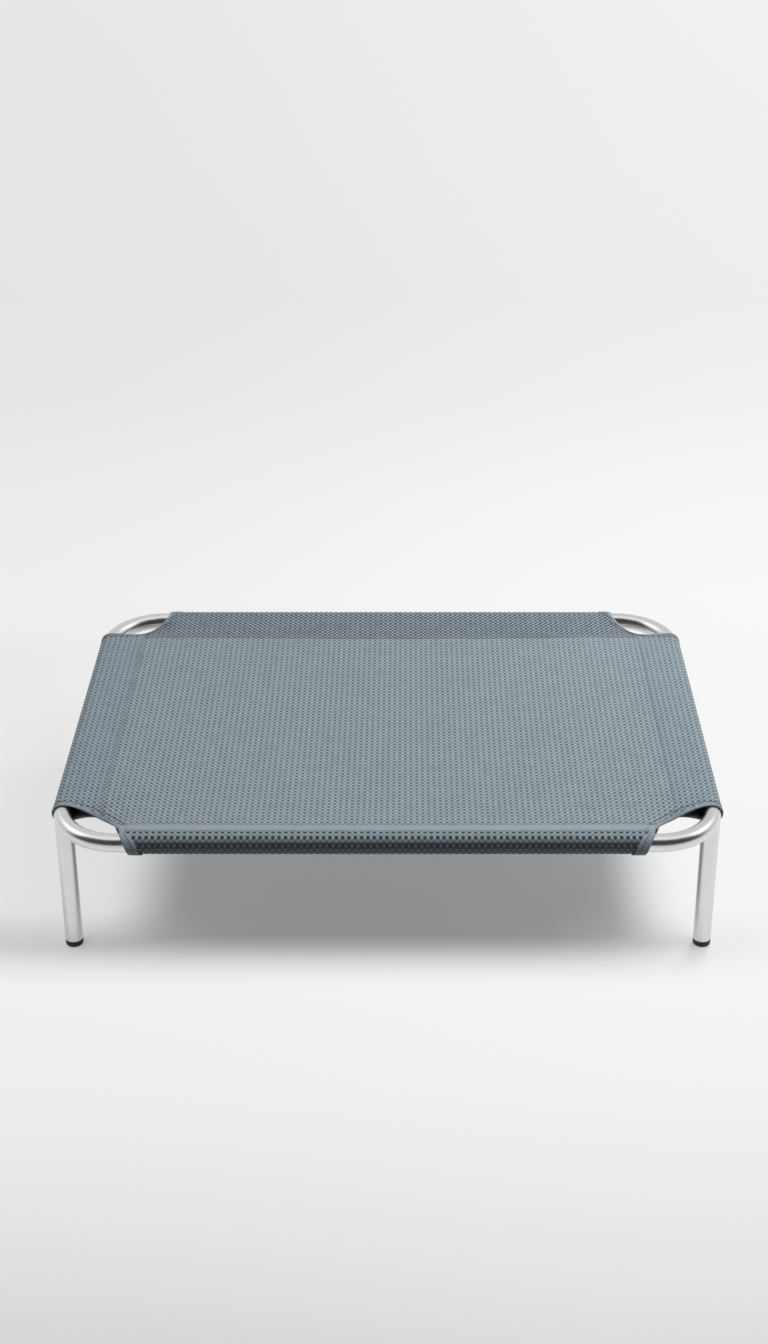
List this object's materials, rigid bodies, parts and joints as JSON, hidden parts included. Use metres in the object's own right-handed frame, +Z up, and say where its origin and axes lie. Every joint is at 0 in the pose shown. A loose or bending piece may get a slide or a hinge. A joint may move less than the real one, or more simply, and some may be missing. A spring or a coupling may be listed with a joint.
{
  "type": "elevated pet bed",
  "caption": "Raised rectangular pet bed: a woven sling stretched by sewn pockets over a round-tube frame with rounded corners and straight legs.",
  "frame": {"origin": "on the floor, under the middle of the bed", "axes": "+X along the long side to the right, +Y from the front rail to the back rail, +Z up"},
  "size_m": [0.9254, 0.7024, 0.2212],
  "materials": {
    "satin_aluminium": "satin brushed",
    "plain_aluminium": "mill",
    "screw_steel": "zinc plated",
    "black_glide": "matt moulded",
    "mesh_single": "coated open weave",
    "mesh_double": "coated open weave, two layers",
    "binding_tape": "woven tape"
  },
  "bodies": {
    "root": {"corner_tube_front_left": "satin_aluminium", "corner_tube_front_right": "satin_aluminium", "corner_tube_back_left": "satin_aluminium", "corner_tube_back_right": "satin_aluminium", "leg_front_left": "satin_aluminium", "leg_front_right": "satin_aluminium", "leg_back_left": "satin_aluminium", "leg_back_right": "satin_aluminium", "front_rail": "satin_aluminium", "back_rail": "satin_aluminium", "left_rail": "satin_aluminium", "right_rail": "satin_aluminium", "front_rail_joiner_left": "plain_aluminium", "front_rail_joiner_right": "plain_aluminium", "back_rail_joiner_left": "plain_aluminium", "back_rail_joiner_right": "plain_aluminium", "left_rail_joiner_front": "plain_aluminium", "left_rail_joiner_back": "plain_aluminium", "right_rail_joiner_front": "plain_aluminium", "right_rail_joiner_back": "plain_aluminium", "front_rail_screw_left": "screw_steel", "front_rail_screw_right": "screw_steel", "back_rail_screw_left": "screw_steel", "back_rail_screw_right": "screw_steel", "left_rail_screw_front": "screw_steel", "left_rail_screw_back": "screw_steel", "right_rail_screw_front": "screw_steel", "right_rail_screw_back": "screw_steel", "foot_glide_front_left": "black_glide", "foot_glide_front_right": "black_glide", "foot_glide_back_left": "black_glide", "foot_glide_back_right": "black_glide", "sling_panel": "mesh_single", "front_pocket": "mesh_double", "back_pocket": "mesh_double", "left_pocket": "mesh_double", "right_pocket": "mesh_double", "binding_front_left": "binding_tape", "binding_front_right": "binding_tape", "binding_back_left": "binding_tape", "binding_back_right": "binding_tape"}
  },
  "joints": []
}
